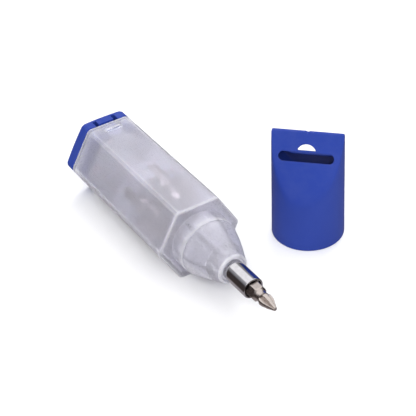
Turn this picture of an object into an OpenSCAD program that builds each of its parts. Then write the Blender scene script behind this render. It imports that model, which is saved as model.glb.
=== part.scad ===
// Pocket bit driver: a hexagonal clear handle lying on a flat, its nose with a
// magnetic bit holder, a pull-out bit rack on a latched end cap, and the nose
// cap that stands on its open end beside it. Millimetres, Z up.
// The handle's axis runs along Y and its bit points to -Y. The origin is the
// middle of the flat that the handle lies on.

/* [Handle] */
// Width of the hexagonal handle across its flats
handle_af = 34; // [33:0.5:36]
// Length of the hexagonal body, without nose and end cap
body_len = 74.2; // [72:0.2:80]
// Wall of the hexagonal body
wall = 1.7; // [1.5:0.1:1.9]
// Radius that takes the sharp edge off the body's six corners
corner_r = 19.2; // [19:0.1:19.6]

/* [Nose] */
// Radius of the round boss that the nose cap grips
boss_r = 13.3; // [13:0.1:13.5]
// Length of the boss
boss_len = 7.75; // [7:0.25:8.5]
// Length of the whole nose from the body's front plane
nose_len = 25.2; // [24.6:0.2:26]
// Radius of the nose just in front of the boss
nose_r = 12.9; // [12.6:0.1:13]
// Radius of the nose at its end
nose_tip_r = 6.9; // [6.8:0.1:7.2]

/* [Bit holder] */
// Outer radius of the chromed holder tube
tube_r = 4.65; // [4.5:0.05:4.8]
// Distance from the body's front plane to the tube's mouth
tube_reach = 39.5; // [38:0.5:41]
// Length of the tube
tube_len = 28; // [27:0.5:29]
// Width across the flats of a driver bit
bit_af = 6.35; // [6.3:0.01:6.36]
// Length of a driver bit
bit_len = 25; // [24.8:0.1:25.2]

/* [Rack] */
// Distance of each stored bit from the handle's axis
rack_r = 10.55; // [10.4:0.05:10.6]
// Distance from the front plane to the stored bits' rear ends
store_depth = 39.5; // [39:0.5:42]

/* [End cap] */
// Length of the end cap at its corners
cap_len = 5.5; // [5.2:0.1:6]
// How far the end cap's middle bulges past its corners
cap_dome = 1.6; // [1:0.1:2]
// Width of each latch tongue
tongue_w = 7.4; // [6:0.2:7.6]

/* [Nose cap] */
// Outer radius at the nose cap's mouth
hood_r = 15.65; // [15.5:0.05:16]
// Height of the nose cap's ridge
hood_h = 51; // [50:0.5:53]
// Half angle of the wedge that the two slopes make
hood_angle = 28.4; // [27:0.1:30]
// Wall of the nose cap
hood_wall = 1.4; // [1.3:0.1:1.5]
// Where the nose cap stands beside the handle, across the handle
hood_x = 52.7; // [48:0.1:60]
// Where it stands along the handle, ahead of the front plane
hood_ahead = 3.2; // [0:0.1:10]
// Turn of its ridge about the vertical
hood_turn = -44.4; // [-60:0.1:0]

/* [Hidden] */
$fn = 64;

axis_z = handle_af / 2;
front_y = -body_len / 2;
rear_y = body_len / 2;
cavity_af = handle_af - 2 * wall;
floor_t = 2;
// Radial play of a sliding or pressed-in fit
fit_gap = 0.05;
// Play between parts that only pass each other
pass_gap = 0.35;
// How far a cutting shape runs past the face that it cuts
over = 1;

clear_blue = [0.74, 0.74, 0.80, 0.5];
plastic_blue = [0.22, 0.30, 0.66];
natural = [0.90, 0.90, 0.93];
chrome = [0.80, 0.80, 0.82];
steel = [0.62, 0.60, 0.58];

// ---- shapes drawn about the handle's axis, which runs along Y ----

module on_axis() translate([0, 0, axis_z]) children();

// A round bar about the axis from y0 to y1
module rod(y0, y1, r) translate([0, y0, 0]) rotate([-90, 0, 0]) cylinder(r = r, h = y1 - y0);

// A hexagonal bar with flats above and below
module hex_bar(y0, y1, af) translate([0, y0, 0]) rotate([-90, 0, 0])
    cylinder(r = af / sqrt(3), h = y1 - y0, $fn = 6);

// A hexagonal bar whose corners are rounded to the radius r
module soft_hex(y0, y1, af, r) intersection() {
    hex_bar(y0, y1, af);
    rod(y0, y1, r);
}

// A turned shape: points are [radius, y]
module turned(points) rotate([-90, 0, 0]) rotate_extrude() polygon(points);

// A block centred on x, from y0 to y1 and z0 to z1
module block(w, y0, y1, z0, z1) translate([-w / 2, y0, z0]) cube([w, y1 - y0, z1 - z0]);

// ---- handle ----

// Radius of the nose's outside, s in front of the front plane
nose_curve = 1.25;
nose_taper_end = nose_len - 1;
function nose_at(s) = nose_r
    - (nose_r - nose_tip_r) * pow((s - boss_len) / (nose_taper_end - boss_len), nose_curve);
nose_steps = 9;
function nose_s(i, s0, s1) = s0 + (s1 - s0) * i / nose_steps;

core_r = 6.7;      // solid core round the holder
nose_wall = 1.9;
nose_hollow = 17;  // how far the hollow reaches into the nose
mouth_r = 5.6;     // recess round the tube at the nose's end
mouth_depth = 0.5;
web_t = 1.3;
webs = 6;

module nose_outside() turned(concat(
    [[0, front_y + over], [boss_r, front_y + over]],
    [[boss_r, front_y - boss_len + 0.3], [boss_r - 0.3, front_y - boss_len]],
    [for (i = [0:nose_steps])
        [nose_at(nose_s(i, boss_len, nose_taper_end)),
            front_y - nose_s(i, boss_len, nose_taper_end)]],
    [[nose_tip_r - 0.35, front_y - nose_len + 0.3], [nose_tip_r - 0.9, front_y - nose_len]],
    [[0, front_y - nose_len]]));

// The ring-shaped hollow between the nose's wall and its core, cut by webs
module nose_hollow() difference() {
    turned(concat(
        [[core_r, front_y + floor_t + over], [boss_r - nose_wall, front_y + floor_t + over]],
        [[boss_r - nose_wall, front_y - boss_len]],
        [for (i = [0:nose_steps])
            [nose_at(nose_s(i, boss_len, nose_hollow)) - nose_wall,
                front_y - nose_s(i, boss_len, nose_hollow)]],
        [[core_r, front_y - nose_hollow]]));
    for (i = [0:webs - 1]) rotate([0, 30 + i * 360 / webs, 0])
        block(web_t, front_y - nose_len, front_y, 0, boss_r + over);
}

groove_at = 1.5;   // groove in front of the mouth's rim
groove_w = 0.35;
groove_depth = 0.3;
window_w = 7.2;
window_y = rear_y - 5.4;
window_len = 1.3;
border_w = 0.9;    // raised border round the window
border_up = 0.2;

module rim_groove() difference() {
    hex_bar(rear_y - groove_at - groove_w, rear_y - groove_at, handle_af + 2 * over);
    soft_hex(rear_y - groove_at - groove_w - over, rear_y - groove_at + over,
        handle_af - 2 * groove_depth, corner_r - groove_depth);
}

module handle_shell() color(clear_blue) on_axis() difference() {
    union() {
        soft_hex(front_y, rear_y, handle_af, corner_r);
        nose_outside();
        block(window_w + 2 * border_w, window_y - window_len / 2 - border_w,
            window_y + window_len / 2 + border_w, axis_z - over, axis_z + border_up);
    }
    soft_hex(front_y + floor_t, rear_y + over, cavity_af, corner_r - wall);
    nose_hollow();
    rod(front_y - nose_len - over, front_y - nose_len + mouth_depth, mouth_r);
    rod(front_y - nose_len, tube_rear, tube_r);
    shank_root();
    rim_groove();
    for (side = [0, 180]) rotate([0, side, 0])
        block(window_w, window_y - window_len / 2, window_y + window_len / 2,
            cavity_af / 2 - over, axis_z + over);
}

// ---- bit holder in the nose ----

tube_mouth = front_y - tube_reach;
tube_rear = tube_mouth + tube_len;
bore_r = 3.85;
lip = 0.35;
bit_out = 15.5;    // how far the fitted bit stands out of the tube
bit_rear = tube_mouth - bit_out + bit_len;
socket_mouth = tube_mouth + 4;
magnet_len = 3;
magnet_r = 3;
socket_floor = bit_rear + fit_gap + magnet_len;
socket_rear = socket_floor + 2;
clip_y = tube_mouth + 2.6;                 // middle of the spring ring
clip_t = 0.7;
clip_in = 3.48;
clip_out = 4.15;
clip_gap_deg = 50;

module holder_tube() color(chrome) on_axis() difference() {
    turned([[0, tube_rear], [tube_r, tube_rear], [tube_r, tube_mouth + lip],
        [tube_r - lip, tube_mouth], [0, tube_mouth]]);
    rod(tube_mouth - over, tube_rear + over, bore_r);
    turned([[0, tube_mouth - over], [bore_r + 0.3 + over, tube_mouth - over],
        [bore_r, tube_mouth + 0.3], [0, tube_mouth + 0.3]]);
    rod(clip_y - clip_t / 2 - fit_gap, clip_y + clip_t / 2 + fit_gap, clip_out + fit_gap);
}

module hex_socket() color(steel) on_axis() difference() {
    rod(socket_mouth, socket_rear, bore_r - 0.01);
    hex_bar(socket_mouth - over, socket_floor, bit_af + 2 * fit_gap);
}

module bit_magnet() color([0.35, 0.35, 0.37]) on_axis()
    rod(socket_floor - magnet_len, socket_floor, magnet_r);

module bit_clip() color([0.72, 0.71, 0.68]) on_axis()
    translate([0, clip_y - clip_t / 2, 0]) rotate([-90, clip_gap_deg, 0])
        rotate_extrude(angle = 360 - clip_gap_deg)
            translate([clip_in, 0]) square([clip_out - clip_in, clip_t]);

shank_rear = front_y - 0.6;
shank_af = 7.4;
key_groove_r = 3.3;

// The shank's rear end, round which the nose is moulded
module shank_root() difference() {
    hex_bar(tube_rear, shank_rear, shank_af);
    difference() {
        rod(shank_rear - 4, shank_rear - 2.5, shank_af);
        rod(shank_rear - 5, shank_rear - 1.5, key_groove_r);
    }
}

module holder_shank() color(steel) on_axis() union() {
    rod(socket_rear + fit_gap, tube_rear, bore_r - 0.01);
    shank_root();
}

// ---- driver bits, drawn with the rear face at y = 0 and the tip at -Y ----

hex_part = 14.3;   // length of a bit's hexagonal part
neck_r = 2.45;

module bit_shank() intersection() {
    hex_bar(-hex_part, 0, bit_af);
    turned([[0, 0], [3.25, 0], [3.75, -0.5], [3.75, -hex_part + 1.1], [2.6, -hex_part], [0, -hex_part]]);
}

// Neck between the hexagon and a working end of radius r that starts at y = -from
module bit_neck(r, from) turned([[0, -hex_part + over], [neck_r + 0.5, -hex_part + over],
    [neck_r + 0.5, -hex_part], [neck_r, -hex_part - 1.2], [neck_r, -hex_part - 2.2],
    [r, -from], [0, -from]]);

// Cross-shaped point: a cone with four grooves, each opening at 90 degrees
module cross_point(r, from, tip_r, groove_lift, groove_tilt) difference() {
    union() {
        bit_neck(r, from);
        turned([[0, -from], [r, -from], [r * 0.9, -from - 2.2], [tip_r, -bit_len + 0.35],
            [tip_r * 0.5, -bit_len], [0, -bit_len]]);
    }
    for (i = [0:3]) rotate([0, 45 + i * 90, 0])
        translate([0, -bit_len, groove_lift]) rotate([groove_tilt, 0, 0]) rotate([0, -45, 0])
            translate([0, -over, 0]) cube([5, 10, 5]);
}

// Flat blade, w wide and t thick
module blade_point(w, t) intersection() {
    union() {
        bit_neck(w / 2, hex_part + 3.4);
        rod(-bit_len, -hex_part - 3.3, w / 2);
    }
    rotate([0, 90, 0]) translate([0, 0, -w]) linear_extrude(2 * w) polygon([
        [-t / 2, -bit_len], [t / 2, -bit_len], [w, -bit_len + 6.5], [w, 0], [-w, 0], [-w, -bit_len + 6.5]]);
}

// Six-lobed star point
module star_point(r) union() {
    bit_neck(2.2, hex_part + 3.4);
    rod(-bit_len + 4, -hex_part - 3.3, 2.2);
    difference() {
        rod(-bit_len, -bit_len + 4.1, r);
        for (i = [0:5]) rotate([0, i * 60, 0]) translate([0, 0, r * 1.12])
            rod(-bit_len - over, -bit_len + 5, r * 0.33);
    }
}

module hex_point(af) union() {
    bit_neck(2.3, hex_part + 3);
    hex_bar(-bit_len, -hex_part - 2.9, af);
}

detent_r = 3.42;   // groove in the bit's corners for the spring ring
detent_w = 1.1;

module driver_bit() color(steel) on_axis() translate([0, bit_rear, 0]) difference() {
    union() {
        bit_shank();
        cross_point(3.05, 17.6, 0.85, 0.55, 8.5);
    }
    difference() {
        rod(clip_y - bit_rear - detent_w / 2, clip_y - bit_rear + detent_w / 2, 5);
        rod(-bit_len, 0, detent_r);
    }
}

// ---- rack with the stored bits ----

store_y = front_y + store_depth;
pocket_depth = 10;
rack_af = cavity_af - 2 * 0.6;
rack_front = store_y - pocket_depth;
rack_rear = store_y + 1.6;
rack_corner_r = corner_r - wall - 1.3;
stem_af = 10;
stem_bore_r = 3.2;
stem_end = rear_y + 2;
seat_y = rear_y - 8.4;         // rear face of the plate that sits against the end cap's skirt
seat_t = 1.8;
gusset_t = 1.3;
gusset_out = 14;
pocket_slot = 4.4;             // open side of each pocket, narrower than the bit

// Places a child in the middle of each flat, or of flat i alone
module at_flat(i) rotate([0, i * 60, 0]) translate([0, 0, rack_r]) children();

module stored(i) on_axis() translate([0, store_y, 0]) at_flat(i) children();

module bit_rack() color(natural) on_axis() difference() {
    union() {
        soft_hex(rack_front, rack_rear, rack_af, rack_corner_r);
        hex_bar(rack_rear - over, stem_end, stem_af);
        soft_hex(seat_y - seat_t, seat_y, rack_af - 3, rack_corner_r - 1.5);
        // gussets between stem and block
        for (i = [0:5]) rotate([0, 30 + i * 60, 0]) rotate([0, -90, 0])
            translate([0, 0, -gusset_t / 2]) linear_extrude(gusset_t)
                polygon([[0, rack_rear - over], [gusset_out, rack_rear - over],
                    [gusset_out, rack_rear + 2], [4, rack_rear + 14], [0, rack_rear + 14]]);
    }
    for (i = [0:5]) at_flat(i) {
        hex_bar(rack_front - over, store_y + fit_gap, bit_af + 2 * fit_gap);
        block(pocket_slot, rack_front - over, store_y - 2, 0, 10);
    }
    rod(rack_front - over, store_y - 1, 4.2);
    rod(store_y + over, stem_end + over, stem_bore_r);
}

module bit_slotted_4() color(steel) stored(0) { bit_shank(); blade_point(4, 0.8); }
module bit_phillips_1() color(steel) stored(1) { bit_shank(); cross_point(2.45, 18.4, 0.6, 0.42, 7.5); }
module bit_star_20() color(steel) stored(2) { bit_shank(); star_point(1.95); }
module bit_slotted_6() color(steel) stored(3) { bit_shank(); blade_point(5.6, 1); }
module bit_pozidriv_2() color(steel) stored(4) { bit_shank(); cross_point(3, 17.6, 1.05, 0.7, 7); }
module bit_hex_4() color(steel) stored(5) { bit_shank(); hex_point(4); }

// ---- end cap ----

cap_face = rear_y + 0.1;       // the end cap's front face, just clear of the handle's rim
cap_end = cap_face + cap_len + cap_dome;
dome_edge = handle_af / sqrt(3) + over;
dome_steps = 10;
// The dome's profile: it falls with the square of the radius
function dome_point(i) = [dome_edge * i / dome_steps,
    cap_end - cap_dome * pow(i / dome_steps * dome_edge / corner_r, 2)];
skirt_af = cavity_af - 2 * pass_gap;
skirt_wall = 1.5;
skirt_front = seat_y;
hollow_end = cap_end - 2.2;
post_r = 7.3;                  // post that holds the rack's stem
post_len = 4;
slit_w = 1.7;
slit_end = cap_face + 4;
root_y = cap_face + 4.2;       // axis that the tongue bends about
root_z = axis_z - 1.25;
root_r = 0.85;
tongue_front = skirt_front + 0.8;
finger_top = cavity_af / 2 - pass_gap;
finger_t = 1.6;
finger_end = root_y - 1.5;
pad_front = cap_face + 1;    // the pad's front edge, set back from the cap's
pad_rear = root_y - fit_gap;
barb_w = 6.4;
barb_up = axis_z - 0.45;       // top of the barb, just below the handle's flat
barb_front = window_y - window_len / 2 + 0.2;
barb_rear = window_y + window_len / 2 - 0.25;

module end_cap() color(plastic_blue) on_axis() difference() {
    union() {
        difference() {
            union() {
                intersection() {
                    soft_hex(cap_face, cap_end, handle_af, corner_r);
                    turned(concat([for (i = [0:dome_steps]) dome_point(i)],
                        [[dome_edge, cap_face - over], [0, cap_face - over]]));
                }
                soft_hex(skirt_front, cap_face + over, skirt_af, corner_r - wall - pass_gap);
            }
            soft_hex(skirt_front - over, hollow_end, skirt_af - 2 * skirt_wall, corner_r - wall - 1.9);
        }
        rod(cap_face - post_len, hollow_end + over, post_r);
        // pads under the tongues' roots
        for (side = [0, 180]) rotate([0, side, 0])
            block(tongue_w + 5, root_y - 0.2, hollow_end + over, root_z - 2.4, axis_z - 0.5);
    }
    hex_bar(cap_face - post_len - over, stem_end + fit_gap, stem_af + 2 * fit_gap);
    for (side = [0, 180]) rotate([0, side, 0]) {
        // slits beside the tongue, and the room below it
        block(tongue_w + 2 * slit_w, cap_face - over, slit_end, root_z - 5, axis_z + over);
        block(tongue_w + 1, skirt_front - over, cap_face, root_z - 5, axis_z + over);
        // the round seat of the root
        translate([-tongue_w / 2 - fit_gap, root_y, root_z]) rotate([0, 90, 0])
            cylinder(r = root_r + fit_gap, h = tongue_w + 2 * fit_gap);
        block(tongue_w + 2 * fit_gap, root_y - over, root_y, root_z - root_r - fit_gap, axis_z + over);
    }
}

// One tongue: a round root, a flush pad, and a finger with a barb in the window
module latch_tongue() color(plastic_blue) union() {
    translate([-tongue_w / 2, root_y, root_z]) rotate([0, 90, 0]) cylinder(r = root_r, h = tongue_w);
    block(tongue_w, pad_front, pad_rear, root_z - root_r, axis_z);
    block(tongue_w, pad_front, root_y, root_z - root_r, root_z + 0.6);
    block(tongue_w, cap_face + 0.3, finger_end, finger_top - finger_t, axis_z - 1);
    block(tongue_w, tongue_front, finger_end, finger_top - finger_t, finger_top);
    // the barb slopes forwards and catches on the window's rear edge
    translate([-barb_w / 2, 0, 0]) rotate([90, 0, 90]) linear_extrude(barb_w) polygon([
        [barb_front, finger_top - 0.5], [barb_front, finger_top + 0.2],
        [window_y, barb_up], [barb_rear, barb_up], [barb_rear, finger_top - 0.5]]);
}

module latch_tongue_top() on_axis() latch_tongue();
module latch_tongue_bottom() on_axis() rotate([0, 180, 0]) latch_tongue();

// ---- nose cap, drawn about its own axis with the ridge along X ----

ridge_round = 0.9;
hood_draft = 0.35;     // how much narrower the nose cap is at its ridge
rib_r = boss_r + 0.2;  // the ribs inside grip the boss
ribs = 6;
rib_h = 7;
slot_len = 23.2;
slot_w = 4.1;
slot_down = 10.9;      // middle of the front slot, down the slope from the ridge
hole_r = 4.26;
hole_down = 9.66;      // middle of the circle that the half-round hole is part of
hole_flat = 8.0;       // its straight edge
rear_w = 9;
rear_down = 15.2;
nick_r = 0.8;

// A cone-walled post cut to a wedge by two slopes, set in by d all round
module wedge_post(d) intersection() {
    translate([0, 0, d > 0 ? -over : 0])
        cylinder(r1 = hood_r - d, r2 = hood_r - hood_draft - d, h = hood_h + over);
    rotate([90, 0, 90]) translate([0, 0, -hood_r - over]) linear_extrude(2 * (hood_r + over)) polygon(concat(
        [[-slope_y(-over, d), -over], [slope_y(-over, d), -over]],
        [for (a = [90 - hood_angle : -(90 - hood_angle) / 4 : -(90 - hood_angle)])
            ridge_point(a, d)]));
}

// Half width of the wedge at the height z
function slope_y(z, d) = (hood_h + ridge_lift - z) * tan(hood_angle) - d / cos(hood_angle);
// The ridge is rounded, so its slopes would meet this far above it
ridge_lift = ridge_round / sin(hood_angle) - ridge_round;
function ridge_point(a, d) = [ridge_round * sin(a), hood_h - ridge_round + ridge_round * cos(a)]
    - (d > 0 ? [0, d / sin(hood_angle)] : [0, 0]);

// Lays a flat outline on the front slope: Y runs up the slope, Z out of it
module on_slope(turn) rotate([0, 0, turn]) translate([0, 0, hood_h + ridge_lift])
    rotate([90 - hood_angle, 0, 0]) translate([0, 0, -3.5]) linear_extrude(5) children();

module stadium(len, w) union() {
    square([len - w, w], center = true);
    for (side = [-1, 1]) translate([side * (len - w) / 2, 0]) circle(r = w / 2);
}

module nose_cap() color(plastic_blue) translate([hood_x, front_y - hood_ahead, 0])
    rotate([0, 0, hood_turn]) difference() {
        wedge_post(0);
        difference() {
            wedge_post(hood_wall);
            for (i = [0:ribs - 1]) rotate([0, 0, 30 + i * 360 / ribs])
                translate([rib_r, -0.7, 0.8]) cube([3, 1.4, rib_h]);
        }
        on_slope(0) translate([0, -slot_down - ridge_lift]) stadium(slot_len, slot_w);
        on_slope(0) translate([0, -hole_down - ridge_lift]) difference() {
            circle(r = hole_r);
            translate([-10, hole_down - hole_flat - 10]) square([20, 10]);
        }
        on_slope(180) translate([0, -rear_down - ridge_lift]) stadium(slot_len, rear_w);
        translate([0, 5, hood_h]) rotate([90, 0, 0]) cylinder(r = nick_r, h = 10);
    }

handle_shell();
holder_tube();
holder_shank();
hex_socket();
bit_magnet();
bit_clip();
driver_bit();
end_cap();
latch_tongue_top();
latch_tongue_bottom();
bit_rack();
bit_slotted_4();
bit_slotted_6();
bit_phillips_1();
bit_pozidriv_2();
bit_star_20();
bit_hex_4();
nose_cap();
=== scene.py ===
"""Looks of the pocket bit driver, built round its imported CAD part.

Lengths of shapes are millimetres in the part's own frame: the handle lies along Y on its bottom flat, its
axis AXIS_Z above the floor, bit towards -Y. They become metres when a mesh is made. Lamps, camera and the
distances inside materials are in metres.
"""
import math

import bmesh
import bpy
import numpy as np
from mathutils import Matrix


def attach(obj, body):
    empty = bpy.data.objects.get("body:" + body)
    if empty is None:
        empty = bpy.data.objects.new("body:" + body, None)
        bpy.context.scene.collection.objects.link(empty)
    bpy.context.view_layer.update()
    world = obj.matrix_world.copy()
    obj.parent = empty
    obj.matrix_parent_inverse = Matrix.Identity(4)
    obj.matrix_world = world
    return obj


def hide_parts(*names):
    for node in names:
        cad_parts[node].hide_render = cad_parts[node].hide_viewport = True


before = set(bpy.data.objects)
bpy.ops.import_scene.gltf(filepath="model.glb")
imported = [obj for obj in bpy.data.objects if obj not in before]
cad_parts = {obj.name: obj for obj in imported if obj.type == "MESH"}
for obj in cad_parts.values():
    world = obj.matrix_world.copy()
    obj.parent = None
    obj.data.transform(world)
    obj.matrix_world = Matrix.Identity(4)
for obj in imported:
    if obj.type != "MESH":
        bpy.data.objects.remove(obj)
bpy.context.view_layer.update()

MM = 0.001
AXIS_Z = 17.0

# Handle moulding
BODY_FLATS = 34.0
BODY_CORNER = 19.2
BODY_WALL = 1.7
REAR = 37.1
FRONT = -REAR
FLOOR_Y = FRONT + 2.0
RIM_GROOVE = REAR - 1.5
WINDOW_Y = REAR - 5.4
WINDOW_W = 7.2
WINDOW_LEN = 1.3
BORDER_W = 0.9
BORDER_UP = 0.2

# Nose
BOSS_R = 13.3
BOSS_LEN = 7.75
NOSE_LEN = 25.2
NOSE_R = 12.9
NOSE_TIP_R = 6.9
NOSE_WALL = 1.9
NOSE_MOUTH_R = 5.6
NOSE_MOUTH_DEPTH = 0.5
CORE_R = 6.7
HOLLOW_LEN = 17.0

# Holder, magnet and fitted bit
TUBE_MOUTH = FRONT - 39.5
TUBE_REAR = TUBE_MOUTH + 28.0
TUBE_R = 4.65
BORE_R = 3.85
CLIP_Y = TUBE_MOUTH + 2.6
BIT_FLATS = 6.35
BIT_LEN = 25.0
BIT_REAR = TUBE_MOUTH - 15.5 + BIT_LEN
SHANK_FLATS = 7.4
SHANK_REAR = FRONT - 0.6

# Rack
RACK_R = 10.55
STORE_Y = FRONT + 39.5

# End cap
CAP_FACE = REAR + 0.1
CAP_LEN = 5.5
CAP_DOME = 1.6
CAP_END = CAP_FACE + CAP_LEN + CAP_DOME
SKIRT_FRONT = REAR - 8.4
SKIRT_FLATS = 29.9
SKIRT_CORNER = 17.15
SKIRT_WALL = 1.5
POST_R = 7.3
POST_FLATS = 10.1
POST_LEN = 4.0
TONGUE_W = 7.4
SLIT_W = 1.7
SLIT_END = CAP_FACE + 4.0
ROOT_Y = CAP_FACE + 4.2
ROOT_UP = 15.75
ROOT_R = 0.9

# Nose cap
HOOD_X = 52.7
HOOD_Y = FRONT - 3.2
HOOD_TURN = math.radians(-44.4)
HOOD_R = 15.65
HOOD_TOP_R = 15.3
HOOD_H = 51.0
HOOD_HALF_ANGLE = math.radians(28.4)
HOOD_WALL = 1.4
RIDGE_ROUND = 0.9
RIDGE_LIFT = RIDGE_ROUND / math.sin(HOOD_HALF_ANGLE) - RIDGE_ROUND
SLOT_LEN = 23.2
SLOT_ACROSS = 4.1
SLOT_DOWN = 10.9
HOLE_R = 4.26
HOLE_FLAT = 1.66
HOLE_DOWN = 9.66
REAR_SLOT_ACROSS = 9.0
REAR_SLOT_DOWN = 15.2
NICK_R = 0.8
RIB_TOP = 7.8


# ---------------------------------------------------------------- surfaces

def soft_min(a, b, blend):
    """The smaller of two lengths with the corner between them rounded:
    half of a + b - sqrt((a - b)^2 + blend^2)."""
    return (a + b - np.sqrt((a - b) ** 2 + blend ** 2)) / 2


def hexagon(angle, flats, corner, blend=0.12):
    """Distance from the axis to a hexagon with a flat on top and rounded corners: half the flats over the
    cosine of the angle from the nearest flat's middle, softly limited to the corner radius."""
    side = (angle + math.pi / 6) % (math.pi / 3) - math.pi / 6
    return soft_min(flats / 2 / np.cos(side), corner, blend)


def quarter(steps=6):
    """Sine and one minus cosine of even steps from 0 to 90 degrees, with which an edge is rounded."""
    t = np.linspace(0, math.pi / 2, steps)
    return np.sin(t), 1 - np.cos(t)


def side_angles():
    """Column angles of the hexagonal mouldings: wide steps over each flat, narrow ones at its corners."""
    half = np.array([0, 4, 8, 12, 16, 20, 23, 25, 26.2, 27, 27.6, 28.2, 28.8, 29.4])
    side = np.concatenate([-half[:0:-1], half, [30]])
    return np.radians((side + 60 * np.arange(6)[:, None]).ravel())


def about_axis(y, radius, angle):
    """Points at the height of the handle's axis: x = r sin a, y, z = axis + r cos a."""
    y, radius, angle = np.broadcast_arrays(y, radius, angle)
    return np.stack([radius * np.sin(angle), y, AXIS_Z + radius * np.cos(angle)], axis=-1)


def shell(points, loop=False):
    """Joins a grid of points (rows, columns, 3) into a closed skin. The columns close on themselves. The
    rows do too if loop is true, and otherwise end in the middle of the first and of the last row."""
    rows, cols = points.shape[:2]
    r = np.arange(rows if loop else rows - 1)[:, None]
    c = np.arange(cols)[None, :]
    on, right = (r + 1) % rows, (c + 1) % cols
    quads = np.stack([r * cols + c, r * cols + right, on * cols + right, on * cols + c], -1).reshape(-1, 4)
    verts = points.reshape(-1, 3)
    tris = np.zeros((0, 3), int)
    if not loop:
        first, last = rows * cols, rows * cols + 1
        verts = np.concatenate([verts, points[:1].mean(axis=1), points[-1:].mean(axis=1)])
        i, j = np.arange(cols), (np.arange(cols) + 1) % cols
        end = (rows - 1) * cols
        tris = np.concatenate([np.stack([j, i, np.full(cols, first)], -1),
                               np.stack([end + i, end + j, np.full(cols, last)], -1)])
    return outward(verts, quads, tris)


def folded_shell(points):
    """Skin like shell's, but its first and last row lie folded flat: columns k and -k are one point."""
    rows, cols = points.shape[:2]
    number = np.arange(rows * cols).reshape(rows, cols)
    k = np.arange(cols)
    number[[0, -1]] = number[[0, -1]][:, np.minimum(k, -k % cols)]
    right = np.roll(number, -1, axis=1)
    quads = np.stack([number[:-1], right[:-1], right[1:], number[1:]], -1).reshape(-1, 4)
    used, index = np.unique(quads, return_inverse=True)
    return outward(points.reshape(-1, 3)[used], index.reshape(quads.shape), np.zeros((0, 3), int))


def outward(verts, quads, tris):
    """Turns a skin's faces round if the volume inside them, the sum of a . (b x c) / 6, is negative."""
    t = np.concatenate([quads[:, [0, 1, 2]], quads[:, [0, 2, 3]], tris])
    a, b, c = verts[t[:, 0]], verts[t[:, 1]], verts[t[:, 2]]
    if np.einsum("ij,ij->i", a, np.cross(b, c)).sum() < 0:
        quads, tris = quads[:, ::-1], tris[:, ::-1]
    return verts, quads, tris


def new_object(name, skins):
    """One mesh object from several skins (points, quads, triangles), in metres."""
    base, loops, sizes = 0, [], []
    for verts, quads, tris in skins:
        loops += [(quads + base).ravel(), (tris + base).ravel()]
        sizes += [np.full(len(quads), 4), np.full(len(tris), 3)]
        base += len(verts)
    points = np.concatenate([s[0] for s in skins]) * MM
    loops, sizes = np.concatenate(loops), np.concatenate(sizes)
    mesh = bpy.data.meshes.new(name)
    mesh.vertices.add(len(points))
    mesh.vertices.foreach_set("co", points.ravel())
    mesh.loops.add(len(loops))
    mesh.loops.foreach_set("vertex_index", loops)
    mesh.polygons.add(len(sizes))
    mesh.polygons.foreach_set("loop_start", np.concatenate([[0], np.cumsum(sizes)[:-1]]))
    mesh.update(calc_edges=True)
    mesh.validate()
    piece = bpy.data.objects.new(name, mesh)
    bpy.context.collection.objects.link(piece)
    return piece


def baked(piece):
    """Replaces a piece's mesh by the one that its modifiers make of it."""
    mesh = bpy.data.meshes.new_from_object(piece.evaluated_get(bpy.context.evaluated_depsgraph_get()))
    piece.modifiers.clear()
    old = piece.data
    piece.data = mesh
    bpy.data.meshes.remove(old)


def carve(piece, tools, operation="DIFFERENCE"):
    """Cuts closed tools out of a piece, or joins them on, and throws the tools away."""
    for tool in tools:
        cut = piece.modifiers.new("cut", "BOOLEAN")
        cut.operation, cut.solver, cut.object = operation, "EXACT", tool
    baked(piece)
    for tool in tools:
        bpy.data.objects.remove(tool)


def shade(piece, sharp=35, weighted=True):
    """Smooth shading with creases only at angles above sharp, and normals that follow the larger faces."""
    piece.data.polygons.foreach_set("use_smooth", np.ones(len(piece.data.polygons), bool))
    piece.data.set_sharp_from_angle(angle=math.radians(sharp))
    if weighted:
        mod = piece.modifiers.new("even normals", "WEIGHTED_NORMAL")
        mod.keep_sharp = True
        mod.weight = 60


def rounded_outline(width, height, radius, steps=40):
    """Closed curve of a rounded rectangle: a circle whose quarters are moved out to its four corners. It
    comes back as a function of how far the curve is grown outwards."""
    def curve(grow):
        t = (np.arange(steps) + 0.5) * math.tau / steps
        x = np.sign(np.cos(t)) * (width / 2 - radius) + (radius + grow) * np.cos(t)
        y = np.sign(np.sin(t)) * (height / 2 - radius) + (radius + grow) * np.sin(t)
        return np.stack([x, y], -1)
    return curve


def half_round_outline(radius, flat):
    """Closed curve of a circle with a straight lower edge at the height flat, grown outwards: the distance
    from its middle is the smaller of the radius and of the way to the edge."""
    def curve(grow):
        t = (np.arange(64) + 0.5) * math.tau / 64
        up = (radius + flat) / 2
        x, y = np.cos(t), np.sin(t)
        circle = -up * y + np.sqrt(np.maximum((up * y) ** 2 - up ** 2 + (radius + grow) ** 2, 0))
        down = np.where(y < -0.01, (up - flat + grow) / np.maximum(-y, 0.01), 99.0)
        r = soft_min(circle, down, 0.15)
        return np.stack([r * x, up + r * y], -1)
    return curve


def flared_plug(name, outline, depths, place):
    """Cutting tool: an outline carried along its own normal, grown by a flare near each skin of the wall,
    so that the cut's edges come out rounded. depths are pairs of (height, growth) and place turns u, v, w
    to x, y, z."""
    rows = [np.concatenate([outline(grow), np.full((len(outline(0)), 1), w)], axis=1) for w, grow in depths]
    return new_object(name, [shell(place(np.stack(rows)))])


def wall_flare(top, thick, edge):
    """Heights and growths of a plug through a wall from top down to top - thick, flared by edge at both
    skins."""
    low, out = top - thick, 1.2
    return [(low - out, out + edge), (low, edge), (low + edge * 0.3, edge * 0.3), (low + edge, 0),
            (top - edge, 0), (top - edge * 0.3, edge * 0.3), (top, edge), (top + out, out + edge)]


# ---------------------------------------------------------------- handle moulding

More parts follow.
